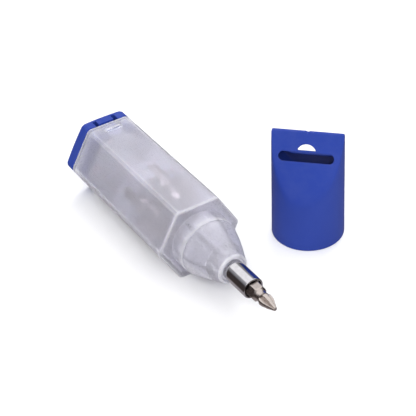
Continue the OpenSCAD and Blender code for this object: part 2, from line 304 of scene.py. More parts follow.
def nose_radius(s):
    """Outer radius of the tapered nose, s in front of the front plane: it falls from NOSE_R to NOSE_TIP_R
    with the 1.25th power of the way from the boss to the nose's rounded end."""
    way = np.clip(s - BOSS_LEN, 0, None) / (NOSE_LEN - 1 - BOSS_LEN)
    return NOSE_R - (NOSE_R - NOSE_TIP_R) * way ** 1.25


def hex_rows(y, inset, flats, corner):
    """Profile rows of a hexagonal section that is set in from its flats and corners alike."""
    y, inset = np.broadcast_arrays(np.atleast_1d(np.asarray(y, float)), inset)
    return np.stack([y, flats - 2 * inset, corner - inset, 0 * y, 0 * y], -1)


def round_rows(y, radius):
    """Profile rows of a round section."""
    y, radius = np.broadcast_arrays(np.atleast_1d(np.asarray(y, float)), np.asarray(radius, float))
    return np.stack([y, 0 * y + 10, 0 * y + 5, radius, 0 * y + 1], -1)


def rings(rows, angles):
    """Points of profile rows (y, flats, corner, radius, roundness): each ring lies between a hexagon and a
    circle, (1 - roundness) x hexagon + roundness x radius."""
    rows = np.concatenate(rows)
    y, flats, corner, radius, roundness = (rows[:, [i]] for i in range(5))
    reach = (1 - roundness) * hexagon(angles, flats, corner) + roundness * radius
    return about_axis(y, reach, angles)


def handle_skin():
    """The whole moulding as one closed ring of profile rows, from the socket of the shank out over the
    nose, the boss and the hexagonal body to the rim, and back along the inside to the floor's middle."""
    s, c = quarter()
    rim, edge, fillet, lip = 0.35, 0.5, 0.35, 0.15
    inner_flats, inner_corner = BODY_FLATS - 2 * BODY_WALL, BODY_CORNER - BODY_WALL
    mouth = FRONT - NOSE_LEN
    recess = mouth + NOSE_MOUTH_DEPTH
    taper = np.linspace(BOSS_LEN + 0.35, NOSE_LEN - 1, 26)
    hollow = np.linspace(HOLLOW_LEN - 0.4, BOSS_LEN, 14)
    outside = [
        hex_rows([SHANK_REAR + 0.05], 2.0, SHANK_FLATS + 0.1, 9),
        hex_rows([SHANK_REAR + 0.05, TUBE_REAR + 0.05], 0, SHANK_FLATS + 0.1, 9),
        round_rows([TUBE_REAR + 0.05, recess + 0.05], TUBE_R + 0.05),
        round_rows([recess, recess], [TUBE_R + 0.1, NOSE_MOUTH_R - lip]),
        round_rows(recess - lip * c, NOSE_MOUTH_R - lip + lip * s),
        round_rows(mouth + lip - lip * s, NOSE_MOUTH_R + lip * c),
        round_rows(mouth + c, NOSE_TIP_R - 0.8 + 0.8 * s),
        round_rows(FRONT - taper[::-1], nose_radius(taper[::-1])),
        round_rows([FRONT - BOSS_LEN - 0.1], NOSE_R),
        round_rows(FRONT - BOSS_LEN + 0.3 * c, BOSS_R - 0.3 + 0.3 * s),
        round_rows([FRONT - 5, FRONT - 2.5], BOSS_R),
        round_rows(FRONT - fillet + fillet * s, BOSS_R + fillet * c),
        round_rows([FRONT], 14.6),
        hex_rows([FRONT], 1.2, BODY_FLATS, BODY_CORNER),
        hex_rows(FRONT + edge * c, edge * (1 - s), BODY_FLATS, BODY_CORNER),
        hex_rows(np.linspace(FRONT + 1.5, REAR - 2.4, 14), 0, BODY_FLATS, BODY_CORNER),
        hex_rows(RIM_GROOVE - np.array([0.42, 0.36, 0.31, 0.04, 0, -0.06]),
                 np.array([0, 0.07, 0.3, 0.3, 0.07, 0]), BODY_FLATS, BODY_CORNER),
        hex_rows(REAR - rim + rim * s, rim * c, BODY_FLATS, BODY_CORNER),
    ]
    inside = [
        hex_rows(REAR - lip + lip * (1 - c), lip * (1 - s), inner_flats, inner_corner),
        hex_rows(np.linspace(REAR - 3, FLOOR_Y + 2, 10), 0, inner_flats, inner_corner),
        hex_rows(FLOOR_Y + 0.8 - 0.8 * s, 0.8 * c, inner_flats, inner_corner),
        round_rows([FLOOR_Y, FLOOR_Y], [12.2, BOSS_R - NOSE_WALL + lip]),
        round_rows(FLOOR_Y - lip * c, BOSS_R - NOSE_WALL + lip - lip * s),
        round_rows(FRONT - hollow[::-1], nose_radius(hollow[::-1]) - NOSE_WALL),
        round_rows([FRONT - HOLLOW_LEN, FRONT - HOLLOW_LEN],
                   [nose_radius(HOLLOW_LEN) - NOSE_WALL - 0.4, CORE_R + 0.3]),
        round_rows([FRONT - HOLLOW_LEN + 0.3, FRONT - 10, FRONT], CORE_R),
        round_rows(FLOOR_Y - lip + lip * s, CORE_R - lip * c),
        round_rows([FLOOR_Y], 3.0),
    ]
    return shell(rings(outside + inside, side_angles()))


def web_skin(turn):
    """One of the six webs in the nose's hollow: a plank whose outer edge follows the nose's wall."""
    y = np.linspace(FRONT - HOLLOW_LEN - 0.3, FRONT, 12)
    inner = np.full_like(y, CORE_R - 0.4)
    outer = np.minimum(nose_radius(FRONT - y), BOSS_R - 0.4) - NOSE_WALL + 0.6
    half = 0.65
    across = np.stack([0 * y - half, 0 * y + half, 0 * y + half, 0 * y - half], -1)
    up = np.stack([inner, inner, outer, outer], -1)
    along = np.repeat(y[:, None], 4, axis=1)
    cos, sin = math.cos(turn), math.sin(turn)
    return shell(np.stack([across * cos + up * sin, along, AXIS_Z + up * cos - across * sin], -1))


def flat_place(side):
    """Places u across, v along the handle and w away from its axis on the top (1) or bottom (-1) flat."""
    def place(p):
        return np.stack([side * p[..., 0], p[..., 1], AXIS_Z + side * p[..., 2]], -1)
    return place


def window_border(outline):
    """Raised border round the top window: a flat band with rounded edges, carried along its outline."""
    s, c = quarter(3)
    edge = 0.12
    grow = np.concatenate([[0], edge * c, BORDER_W - edge + edge * s, [BORDER_W]])
    up = np.concatenate([[-0.6], BORDER_UP - edge + edge * s, BORDER_UP - edge * c, [-0.6]])
    rows = [np.concatenate([outline(g), np.full((len(outline(g)), 1), AXIS_Z + u)], axis=1)
            for g, u in zip(grow, up)]
    points = np.stack(rows)
    points[..., 1] += WINDOW_Y
    return shell(flat_place(1)(points), loop=True)


def handle_moulding():
    piece = new_object("handle_moulding", [handle_skin()])
    webs = new_object("webs", [web_skin(math.radians(30 + 60 * i)) for i in range(6)])
    outline = rounded_outline(WINDOW_W, WINDOW_LEN, 0.3, 48)
    border = new_object("border", [window_border(outline)])
    carve(piece, [webs, border], "UNION")
    tools = []
    for side, up in ((1, BORDER_UP), (-1, 0)):
        place = flat_place(side)
        tools.append(flared_plug("window", outline, wall_flare(AXIS_Z + up, BODY_WALL + up, 0.12),
                                 lambda p, q=place: q(p + np.array([0, WINDOW_Y, 0]))))
    carve(piece, tools)
    shade(piece)
    return piece


# ---------------------------------------------------------------- end cap

def end_cap_skin():
    """Cap and skirt as one closed sweep. The dome falls from its middle by CAP_DOME times the square of the
    way to the corner radius, and the cap's edges are rounded."""
    s, c = quarter()
    angles = side_angles()
    edge, rim, floor, dome_steps = 1.1, 0.25, CAP_END - 2.2, 12
    inner = SKIRT_FLATS - 2 * SKIRT_WALL, SKIRT_CORNER - 1.55
    outer = BODY_FLATS, BODY_CORNER
    side = rings([
        round_rows([floor, floor], [2, 8]),
        hex_rows(floor - 0.6 * c, 0.6 * (1 - s), *inner),
        hex_rows([CAP_FACE, SKIRT_FRONT + 1], 0, *inner),
        hex_rows(SKIRT_FRONT + 0.3 - 0.3 * s, -0.3 * c, *inner),
        hex_rows(SKIRT_FRONT + 0.4 * c, 0.4 * (1 - s), SKIRT_FLATS, SKIRT_CORNER),
        hex_rows([SKIRT_FRONT + 4, CAP_FACE - 0.15], 0, SKIRT_FLATS, SKIRT_CORNER),
        hex_rows([CAP_FACE], 1.2, *outer),
        hex_rows(CAP_FACE + rim * c, rim * (1 - s), *outer),
        hex_rows([CAP_FACE + 2, CAP_FACE + 3.4], 0, *outer),
    ], angles)
    # from the last side row each column runs over a rounded edge onto the dome
    full = hexagon(angles, *outer)
    t, u = quarter(9)
    round_in = np.concatenate([edge * u, np.linspace(edge + 1.2, 18, dome_steps)])[:, None]
    reach = np.maximum(full - round_in, full * (1 - round_in / 18.2))
    dome = CAP_END - CAP_DOME * (reach / BODY_CORNER) ** 2
    drop = np.concatenate([edge * (1 - t), np.zeros(dome_steps)])[:, None]
    return shell(np.concatenate([side, about_axis(dome - drop, reach, angles)]))


def ring_skin(y0, y1, radius, hole_flats):
    """Round post with a hexagonal hole, closed on itself."""
    angles = np.radians(np.arange(0, 360, 5.0))
    rows = [round_rows([y0, y0 + 0.2], [radius - 0.2, radius]), round_rows([y1], radius),
            hex_rows([y1, y0], 0, hole_flats, 20)]
    return shell(rings(rows, angles), loop=True)


def block_skin(width, y0, y1, up0, up1, side):
    """Block on the top (1) or bottom (-1) flat's side with rounded upright edges."""
    soft = 0.2
    outline = rounded_outline(width, y1 - y0, soft, 24)
    rows = [(up0, -soft), (up0 + soft, 0), (up1 - soft, 0), (up1, -soft)]
    points = np.stack([np.concatenate([outline(g), np.full((24, 1), w)], axis=1) for w, g in rows])
    points[..., 1] += (y0 + y1) / 2
    return shell(flat_place(side)(points))


def end_cap_moulding():
    pads = [block_skin(TONGUE_W + 5, ROOT_Y - 0.2, CAP_END - 1.4, ROOT_UP - 2.4, AXIS_Z - 0.6, side)
            for side in (1, -1)]
    piece = new_object("end_cap_moulding", [end_cap_skin()])
    carve(piece, [new_object("pads", pads)], "UNION")
    tools = []
    for side in (1, -1):
        place = flat_place(side)
        for width, y0, y1 in ((TONGUE_W + 2 * SLIT_W, CAP_FACE - 4, SLIT_END),
                              (TONGUE_W + 1, SKIRT_FRONT - 4, CAP_FACE)):
            outline = rounded_outline(width, y1 - y0, 0.35)
            middle = np.array([0, (y0 + y1) / 2, 0])
            top = AXIS_Z if y1 > CAP_FACE else SKIRT_FLATS / 2
            depths = [(ROOT_UP - 5, 0), (top - 0.2, 0), (top - 0.06, 0.05), (top, 0.2), (top + 1, 1.2)]
            tools.append(flared_plug("slit", outline, depths, lambda p, m=middle, q=place: q(p + m)))
        seat = rounded_outline(TONGUE_W + 0.1, 1.5, 0.1)
        middle = np.array([0, ROOT_Y - 0.75, 0])
        depths = [(ROOT_UP - ROOT_R, 0), (AXIS_Z - 0.1, 0), (AXIS_Z, 0.1), (AXIS_Z + 1, 1.1)]
        tools.append(flared_plug("seat", seat, depths, lambda p, m=middle, q=place: q(p + m)))
        t = np.linspace(0, math.tau, 24, endpoint=False)
        x = np.linspace(-TONGUE_W / 2 - 0.05, TONGUE_W / 2 + 0.05, 3)[:, None]
        root = np.stack(np.broadcast_arrays(x, ROOT_Y + ROOT_R * np.sin(t), ROOT_UP + ROOT_R * np.cos(t)), -1)
        tools.append(new_object("root", [shell(place(root))]))
    carve(piece, tools)
    joined(piece, new_object("post", [ring_skin(CAP_FACE - POST_LEN, CAP_END - 1.5, POST_R, POST_FLATS)]))
    shade(piece, 30)
    return piece


def joined(piece, other):
    """Adds another object's mesh to a piece's own, both in place, and removes the other."""
    both = bmesh.new()
    both.from_mesh(piece.data)
    both.from_mesh(other.data)
    both.to_mesh(piece.data)
    both.free()
    bpy.data.objects.remove(other)


# ---------------------------------------------------------------- nose cap

def hood_rows(z, wall):
    """Radius and half width of the wedge-topped post at the heights z, set in by wall. The radius falls
    evenly with height and rounds off at the ridge's ends; the half width is that of two slopes which meet
    above the rounded ridge, limited there by the circle of the ridge's own rounding."""
    sunk = wall / math.sin(HOOD_HALF_ANGLE)
    top = HOOD_H - sunk if wall else HOOD_H
    radius = HOOD_R + (HOOD_TOP_R - HOOD_R) * z / HOOD_H - wall
    corner = 1.3
    near = np.clip((z - (top - corner)) / corner, 0, 1)
    radius = radius - corner * (1 - np.sqrt(1 - near ** 2)) * 0.8
    slope = (HOOD_H + RIDGE_LIFT - z) * math.tan(HOOD_HALF_ANGLE) - wall / math.cos(HOOD_HALF_ANGLE)
    over = np.clip(z - (top - RIDGE_ROUND), -RIDGE_ROUND, RIDGE_ROUND)
    ridge = np.sqrt(np.maximum(RIDGE_ROUND ** 2 - over ** 2, 0))
    tangent = top - RIDGE_ROUND + RIDGE_ROUND * math.sin(HOOD_HALF_ANGLE)
    return radius, np.where(z > tangent, ridge, slope)


def hood_points(z, wall, angles, crease):
    """Each point's x is the radius times the angle's cosine; its y is the radius times the sine, softly
    limited to the half width at that height, so that wall and slope meet in a rounded crease."""
    radius, half = hood_rows(z, wall)
    radius, half = radius[:, None], half[:, None]
    chord = radius * np.abs(np.sin(angles))
    y = np.sign(np.sin(angles)) * np.maximum(soft_min(chord, half, np.minimum(crease, 0.6 * half)), 0)
    x = radius * np.cos(angles) + 0 * y
    return np.stack([x, y, z[:, None] + 0 * y], -1)


def hood_heights(top):
    """Heights of the rows: even up the post, then as the sine over the ridge's rounding."""
    rounding = top - RIDGE_ROUND + RIDGE_ROUND * np.sin(np.linspace(HOOD_HALF_ANGLE, math.pi / 2, 10))
    return np.concatenate([np.linspace(1.2, 20, 8), np.linspace(21, rounding[0] - 0.3, 76), rounding])


def hood_place(p):
    """Turns the nose cap's own frame, ridge along x, to where it stands beside the handle."""
    cos, sin = math.cos(HOOD_TURN), math.sin(HOOD_TURN)
    x, y = p[..., 0], p[..., 1]
    return np.stack([HOOD_X + x * cos - y * sin, HOOD_Y + x * sin + y * cos, p[..., 2]], -1)


def slope_place(down, side):
    """Places u along the ridge, v up the slope and w out of it, with v = 0 the way down from the ridge, on
    the front (1) or the rear (-1) slope."""
    tilt = math.pi / 2 - HOOD_HALF_ANGLE

    def place(p):
        u, v, w = p[..., 0], p[..., 1] - down - RIDGE_LIFT, p[..., 2]
        y = v * math.cos(tilt) - w * math.sin(tilt)
        z = v * math.sin(tilt) + w * math.cos(tilt) + HOOD_H + RIDGE_LIFT
        return hood_place(np.stack([side * u, side * y, z], -1))
    return place


def rib_skin(angle):
    """Low rib inside the nose cap's mouth, sunk into the wall, with a sloped top."""
    r = np.array([BOSS_R + 0.2, BOSS_R + 0.2, 14.9, 14.9])
    t = np.array([-0.7, 0.7, 0.7, -0.7])
    z = np.array([0.9, 1.2, RIB_TOP - 0.9, RIB_TOP])
    grow = np.array([-0.25, 0, 0, -0.6])
    radial = r + np.where(r < 14, -grow[:, None], 0)
    across = np.broadcast_to(t, (4, 4))
    x = radial * math.cos(angle) - across * math.sin(angle)
    y = radial * math.sin(angle) + across * math.cos(angle)
    return shell(hood_place(np.stack([x, y, np.broadcast_to(z[:, None], (4, 4))], -1)))


def nose_cap_moulding():
    s, c = quarter()
    angles = np.arange(384) * math.tau / 384
    inner_top = HOOD_H - HOOD_WALL / math.sin(HOOD_HALF_ANGLE)
    lip = 0.3

    def ring(z, inset):
        radius = HOOD_R - inset
        y = np.sin(angles) * radius[:, None]
        return np.stack([np.cos(angles) * radius[:, None], y, z[:, None] + 0 * y], -1)
    rows = [
        hood_points(hood_heights(inner_top)[::-1], HOOD_WALL, angles, 0.5),
        ring(lip * (1 - s), HOOD_WALL - lip * c),
        ring(lip * c, lip * (1 - s)),
        hood_points(hood_heights(HOOD_H), 0, angles, 1.3),
    ]
    piece = new_object("nose_cap_moulding", [folded_shell(hood_place(np.concatenate(rows)))])
    front = rounded_outline(SLOT_LEN, SLOT_ACROSS, 2.04, 72)
    hole = half_round_outline(HOLE_R, HOLE_FLAT)
    rear = rounded_outline(SLOT_LEN, REAR_SLOT_ACROSS, 4.4, 72)
    slot_edge, hole_edge = wall_flare(0, HOOD_WALL, 0.35), wall_flare(0, HOOD_WALL, 0.25)
    tools = [
        flared_plug("slot", front, slot_edge, slope_place(SLOT_DOWN, 1)),
        flared_plug("half_round", hole, hole_edge, slope_place(HOLE_DOWN, 1)),
        flared_plug("rear_slot", rear, slot_edge, slope_place(REAR_SLOT_DOWN, -1)),
    ]
    t = np.linspace(0, math.tau, 24, endpoint=False)
    v = np.linspace(-3, 3, 3)[:, None]
    nick = np.stack(np.broadcast_arrays(NICK_R * np.cos(t), v, HOOD_H + NICK_R * np.sin(t)), -1)
    tools.append(new_object("nick", [shell(hood_place(nick))]))
    carve(piece, tools)
    joined(piece, new_object("ribs", [rib_skin(math.radians(30 + 60 * i)) for i in range(6)]))
    shade(piece, 40, weighted=False)
    return piece


# ---------------------------------------------------------------- turned metal parts

def lathed(name, profile, columns=96, loop=True):
    """Closed turned part: the profile's points (y, radius) carried round the handle's axis."""
    angles = np.arange(columns) * math.tau / columns
    profile = np.array(profile)
    piece = new_object(name, [shell(about_axis(profile[:, [0]], profile[:, [1]], angles), loop)])
    shade(piece, 40)
    return piece


def chromed_tube():
    """Tube with a rolled lip at its mouth and the spring ring's groove inside."""
    s, c = quarter(7)
    lip = 0.36
    g0, g1, depth = CLIP_Y - 0.4, CLIP_Y + 0.4, 4.2
    outer = np.stack([TUBE_MOUTH + lip - lip * s, TUBE_R - lip * c], -1)
    inner = np.stack([TUBE_MOUTH + lip * c, BORE_R + lip - lip * s], -1)
    body = [[TUBE_REAR, BORE_R], [TUBE_REAR, TUBE_R - 0.1], [TUBE_REAR - 0.1, TUBE_R],
            [TUBE_REAR - 7, TUBE_R], [TUBE_REAR - 16, TUBE_R]]
    bore = [[g0 - 0.05, BORE_R], [g0, BORE_R + 0.05], [g0, depth], [g1, depth], [g1, BORE_R + 0.05],
            [g1 + 0.05, BORE_R], [TUBE_REAR - 16, BORE_R], [TUBE_REAR - 7, BORE_R]]
    return lathed("chromed_tube", np.concatenate([body, outer, inner[:-1], bore]))


def magnet_disc():
    """Disc magnet with a small chamfer at both faces."""
    y0, y1, r, e = BIT_REAR + 0.05, BIT_REAR + 3.05, 3.0, 0.18
    profile = [[y0, r - 0.6], [y0, r - e], [y0 + e, r], [y1 - e, r], [y1, r - e], [y1, r - 0.6]]
    return lathed("magnet_disc", profile, 72, False)


# ---------------------------------------------------------------- driver bits

def groove_limit(angle, s, lift, tilt):
    """Reach of a point between four V grooves of 90 degrees: (lift + tilt x way back from the tip) over
    (cos a - |sin a|), a the angle from the nearest groove's middle."""
    step = math.tau / 4
    a = (angle % step) - step / 2
    floor = lift + tilt * (BIT_LEN - s)
    return floor / np.maximum(np.cos(a) - np.abs(np.sin(a)), 0.02)


def cross_point(angle, s, radius, start, tip, lift, tilt, marks=0.0):
    """Cross recess point: a cone from radius to tip, cut by four V grooves, with fine marks between the
    wings for the kind that has them."""
    cone = np.interp(s, [start, start + 2.2, BIT_LEN - 0.35, BIT_LEN],
                     [radius, radius * 0.9, tip, tip * 0.5])
    wings = groove_limit(angle, s, lift, math.tan(math.radians(tilt)))
    mark = marks * np.exp(-(((angle % (math.pi / 2)) - math.pi / 4) / 0.1) ** 2) * (s > start + 1)
    return soft_min(np.where(s > start - 0.8, soft_min(cone, wings, 0.08), 9.0) + mark, cone, 0.05)


def blade_point(angle, s, width, thick):
    """Flat blade: the width's half as a circle and the thickness's half over |cos a|, which grows
    towards the neck in a hollow-ground curve."""
    back = np.clip((BIT_LEN - s) / 7.5, 0, 1)
    half = thick / 2 + 2.0 * back ** 1.8
    return soft_min(half / np.maximum(np.abs(np.cos(angle)), 0.02), 0 * s + width / 2, 0.08)


def star_point(angle, s, radius):
    """Six-lobed point: the radius less a ninth of it times one minus the cosine of six times the angle."""
    lobes = radius * (1 - 0.11 * (1 - np.cos(6 * angle)))
    return np.where(s > BIT_LEN - 4, lobes, 2.2)


def hex_point(angle, s, flats):
    """Hexagonal point with its own small end chamfer."""
    chamfer = flats / 2 + 0.15 + (BIT_LEN - s)
    return soft_min(hexagon(angle, flats, flats / math.sqrt(3) - 0.06, 0.05), chamfer, 0.05)


def bit_skin(y, middle_x, middle_up, head_radius, point):
    """Insert bit with its rear face at y. The reach is the softly smallest of the hexagon across 6.35, a
    turned limit (chamfered rear edge, notch for the spring ring, cone in front of the hexagon, waist) and
    the working point's own limit."""
    angle = np.arange(180) * math.tau / 180
    s = np.concatenate([np.linspace(*span) for span in (
        (0, 0.6, 5), (1.2, 6.0, 5), (6.3, 7.5, 9), (8.2, 12.8, 5), (13.1, 14.6, 12), (14.75, 17.5, 14),
        (17.6, 24.6, 42), (24.7, 25.0, 4))])[:, None]
    limits = np.array([(0, 3.25), (0.5, 3.75), (6.35, 3.75), (6.6, 3.42), (7.2, 3.42), (7.45, 3.75),
                       (13.2, 3.75), (14.2, 2.8), (14.5, 2.62), (15.4, 2.45), (16.5, 2.45),
                       (17.6, head_radius), (18.2, 4), (BIT_LEN, 4)])
    turned = np.interp(s, limits[:, 0], limits[:, 1])
    reach = soft_min(hexagon(angle, BIT_FLATS, 3.62, 0.05), turned, 0.06)
    reach = np.where(s > 16.5, soft_min(reach, point(angle, s), 0.06), reach)
    if middle_up:
        turn = math.atan2(middle_x, middle_up - AXIS_Z)
        angle = angle + turn
    return shell(np.stack(np.broadcast_arrays(middle_x + reach * np.sin(angle), y - s,
                                              (middle_up or AXIS_Z) + reach * np.cos(angle)), -1))


BIT_POINTS = {
    "slotted_4": (2.0, lambda a, s: blade_point(a, s, 4.0, 0.8)),
    "phillips_1": (2.45, lambda a, s: cross_point(a, s, 2.45, 18.4, 0.6, 0.42, 7.5)),
    "star_20": (2.2, lambda a, s: star_point(a, s, 1.95)),
    "slotted_6": (2.8, lambda a, s: blade_point(a, s, 5.6, 1.0)),
    "pozidriv_2": (3.0, lambda a, s: cross_point(a, s, 3.0, 17.6, 1.05, 0.7, 7.0, 0.25)),
    "hex_4": (2.3, lambda a, s: hex_point(a, s, 4.0)),
}


def fitted_bit():
    piece = new_object("fitted_cross_bit", [bit_skin(
        BIT_REAR, 0, None, 3.05, lambda a, s: cross_point(a, s, 3.05, 17.6, 0.85, 0.55, 8.5))])
    shade(piece, 28)
    return piece


def stored_bit(kind, flat):
    turn = math.radians(60 * flat)
    head, point = BIT_POINTS[kind]
    piece = new_object("stored_bit_" + kind, [bit_skin(
        STORE_Y, RACK_R * math.sin(turn), AXIS_Z + RACK_R * math.cos(turn), head, point)])
    shade(piece, 28)
    return piece


# ---------------------------------------------------------------- pieces that keep their CAD shape

def softened(node, name, edge):
    """Copy of a CAD node with its loose triangles merged, its flat faces joined and its edges rounded."""
    work = bmesh.new()
    work.from_mesh(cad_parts[node].data)
    bmesh.ops.remove_doubles(work, verts=work.verts, dist=2e-6)
    bmesh.ops.dissolve_limit(work, angle_limit=math.radians(0.6), verts=work.verts, edges=work.edges)
    mesh = bpy.data.meshes.new(name)
    work.to_mesh(mesh)
    work.free()
    mesh.materials.clear()
    piece = bpy.data.objects.new(name, mesh)
    bpy.context.collection.objects.link(piece)
    bevel = piece.modifiers.new("rounded edges", "BEVEL")
    bevel.width, bevel.segments = edge * MM, 2
    bevel.limit_method, bevel.angle_limit = "ANGLE", math.radians(35)
    bevel.use_clamp_overlap = True
    baked(piece)
    shade(piece, 40)
    return piece


# ---------------------------------------------------------------- finishes

class Tree:
    """Short hand for building a node tree: nodes by type with their settings, and links by socket."""

    def __init__(self, tree):
        self.tree = tree

    def add(self, kind, **settings):
        node = self.tree.nodes.new(kind)
        for key, value in settings.items():
            if hasattr(node, key):
                setattr(node, key, value)
            else:
                node.inputs[key.replace("_", " ")].default_value = value
        return node

    def link(self, output, target):
        self.tree.links.new(output, target)

    def feed(self, socket, value):
        """Sets a socket to a number or colour, or links another node's output to it."""
        if isinstance(value, (int, float, tuple)):
            socket.default_value = value
        else:
            self.link(value, socket)

    def math(self, operation, a, b):
        node = self.add("ShaderNodeMath", operation=operation)
        self.feed(node.inputs[0], a)
        self.feed(node.inputs[1], b)
        return node.outputs[0]

    def noise(self, place, scale, detail, roughness):
        node = self.add("ShaderNodeTexNoise", Detail=detail, Roughness=roughness)
        self.feed(node.inputs["Scale"], scale)
        self.link(place, node.inputs["Vector"])
        return node.outputs["Fac"]

    def span(self, value, low, high, out_low, out_high):
        node = self.add("ShaderNodeMapRange")
        self.link(value, node.inputs["Value"])
        ends = {"From Min": low, "From Max": high, "To Min": out_low, "To Max": out_high}
        for name, number in ends.items():
            self.feed(node.inputs[name], number)
        return node.outputs["Result"]

    def mix(self, factor, a, b, blend="MIX"):
        node = self.add("ShaderNodeMix", data_type="RGBA", blend_type=blend)
        for socket, value in ((0, factor), (6, a), (7, b)):
            self.feed(node.inputs[socket], value)
        return node.outputs[2]


def group(name, inputs, outputs):
    """Empty node group with named sockets; colours are those whose default is a 4-tuple."""
    tree = bpy.data.node_groups.new(name, "ShaderNodeTree")
    for key, default in inputs.items():
        kind = "NodeSocketColor" if isinstance(default, tuple) else "NodeSocketFloat"
        tree.interface.new_socket(name=key, in_out="INPUT", socket_type=kind).default_value = default
    for key, kind in outputs.items():
        tree.interface.new_socket(name=key, in_out="OUTPUT", socket_type="NodeSocket" + kind)
    return tree, tree.nodes.new("NodeGroupInput"), tree.nodes.new("NodeGroupOutput")


def moulded_grain():
    """Fine spark-eroded grain and slow flow shading of a moulded plastic."""
    tree, take, give = group(
        "Moulded grain", {"Colour": (1, 1, 1, 1), "Flow": 0.1, "Roughness": 0.4, "Grain size": 0.3},
        {"Colour": "Color", "Roughness": "Float", "Height": "Float"})
    t = Tree(tree)
    place = t.add("ShaderNodeTexCoord").outputs["Object"]
    scale = t.math("DIVIDE", 1000.0, take.outputs["Grain size"])
    fine = t.noise(place, scale, 2.0, 0.6)
    slow = t.noise(place, 42.0, 3.0, 0.55)
    darker = t.mix(1.0, take.outputs["Colour"], (0.78, 0.78, 0.80, 1), "MULTIPLY")
    amount = t.math("MULTIPLY", t.span(slow, 0.3, 0.7, 0.0, 1.0), take.outputs["Flow"])
    t.link(t.mix(amount, take.outputs["Colour"], darker), give.inputs["Colour"])
    uneven = t.span(fine, 0.3, 0.7, -0.05, 0.05)
    t.link(t.math("ADD", take.outputs["Roughness"], uneven), give.inputs["Roughness"])
    t.link(fine, give.inputs["Height"])
    return tree


def edge_wear_and_highlight():
    """Lighter edges: the mesh's pointiness between From and To, gone again above Fade, broken up by noise.
    On most finishes they are edges scuffed where handling rubs a part; on the frosted moulding they are a
    painted highlight along its ridges and rings."""
    tree, take, give = group(
        "Edge wear", {"Colour": (1, 1, 1, 1), "Worn colour": (1, 1, 1, 1), "Amount": 0.3,
                      "From": 0.52, "To": 0.60, "Fade": 0.9},
        {"Colour": "Color", "Mask": "Float"})
    t = Tree(tree)
    point = t.add("ShaderNodeNewGeometry").outputs["Pointiness"]
    patchy = t.noise(t.add("ShaderNodeTexCoord").outputs["Object"], 700.0, 4.0, 0.6)
    # lighter edge mask: scuffing on most finishes, a painted highlight on the frosted moulding
    raised = t.span(point, take.outputs["From"], take.outputs["To"], 0.0, 1.0)
    gone = t.math("ADD", take.outputs["Fade"], 0.02)
    raised = t.math("MULTIPLY", raised, t.span(point, take.outputs["Fade"], gone, 1.0, 0.0))
    mask = t.math("MULTIPLY", raised, t.span(patchy, 0.3, 0.6, 0.5, 1.0))
    mask = t.math("MULTIPLY", mask, take.outputs["Amount"])
    t.link(t.mix(mask, take.outputs["Colour"], take.outputs["Worn colour"]), give.inputs["Colour"])
    t.link(mask, give.inputs["Mask"])
    return tree


def fine_scratches():
    """Scratches along the handle's axis: noise drawn out along Y."""
    tree, take, give = group("Fine scratches", {"Roughness": 0.3, "Spread": 0.1, "Drawn out": 0.05},
                             {"Roughness": "Float", "Height": "Float", "Shade": "Float"})
    t = Tree(tree)
    place = t.add("ShaderNodeTexCoord").outputs["Object"]
    scale = t.add("ShaderNodeCombineXYZ", X=1.0, Z=1.0)
    t.link(take.outputs["Drawn out"], scale.inputs["Y"])
    stretched = t.add("ShaderNodeVectorMath", operation="MULTIPLY")
    t.link(place, stretched.inputs[0])
    t.link(scale.outputs[0], stretched.inputs[1])
    lines = t.noise(stretched.outputs[0], 5200.0, 3.0, 0.65)
    clouds = t.noise(place, 420.0, 3.0, 0.6)
    both = t.math("ADD", t.math("MULTIPLY", lines, 0.65), t.math("MULTIPLY", clouds, 0.35))
    change = t.math("MULTIPLY", t.span(both, 0.3, 0.7, -1.0, 1.0), take.outputs["Spread"])
    t.link(t.math("ADD", take.outputs["Roughness"], change), give.inputs["Roughness"])
    t.link(lines, give.inputs["Height"])
    t.link(t.span(clouds, 0.3, 0.7, 0.86, 1.0), give.inputs["Shade"])
    return tree


def settled_dust():
    """Thin dust on faces that look up: the normal's height times patchy noise."""
    tree, take, give = group("Settled dust", {"Colour": (1, 1, 1, 1), "Roughness": 0.4, "Amount": 0.1},
                             {"Colour": "Color", "Roughness": "Float"})
    t = Tree(tree)
    parts = t.add("ShaderNodeSeparateXYZ")
    t.link(t.add("ShaderNodeNewGeometry").outputs["Normal"], parts.inputs[0])
    patchy = t.noise(t.add("ShaderNodeTexCoord").outputs["Object"], 160.0, 5.0, 0.65)
    upward = t.span(parts.outputs["Z"], 0.2, 0.9, 0.0, 1.0)
    mask = t.math("MULTIPLY", upward, t.span(patchy, 0.42, 0.7, 0.0, 1.0))
    mask = t.math("MULTIPLY", mask, take.outputs["Amount"])
    t.link(t.mix(mask, take.outputs["Colour"], (0.80, 0.79, 0.78, 1)), give.inputs["Colour"])
    matt = t.math("MULTIPLY", mask, 0.5)
    t.link(t.math("ADD", take.outputs["Roughness"], matt), give.inputs["Roughness"])
    return tree


GRAIN, EDGE_WEAR_AND_HIGHLIGHT, SCRATCH, DUST = moulded_grain(), edge_wear_and_highlight(), fine_scratches(), settled_dust()


def finish_of(name, **constants):
    """New material with its Principled shader's constant sockets set. Returns material, tree and shader."""
    material = bpy.data.materials.new(name)
    material.use_nodes = True
    shader = material.node_tree.nodes["Principled BSDF"]
    for key, value in constants.items():
        shader.inputs[key.replace("_", " ")].default_value = value
    return material, Tree(material.node_tree), shader


def placed(t, tree, **values):
    """A shared group in a material's tree, with this finish's own values."""
    node = t.add("ShaderNodeGroup")
    node.node_tree = tree
    for key, value in values.items():
        node.inputs[key.replace("_", " ")].default_value = value
    return node


def bumped(t, shader, height, strength, distance):
    bump = t.add("ShaderNodeBump", Strength=strength, Distance=distance)
    t.link(height, bump.inputs["Height"])
    t.link(bump.outputs["Normal"], shader.inputs["Normal"])


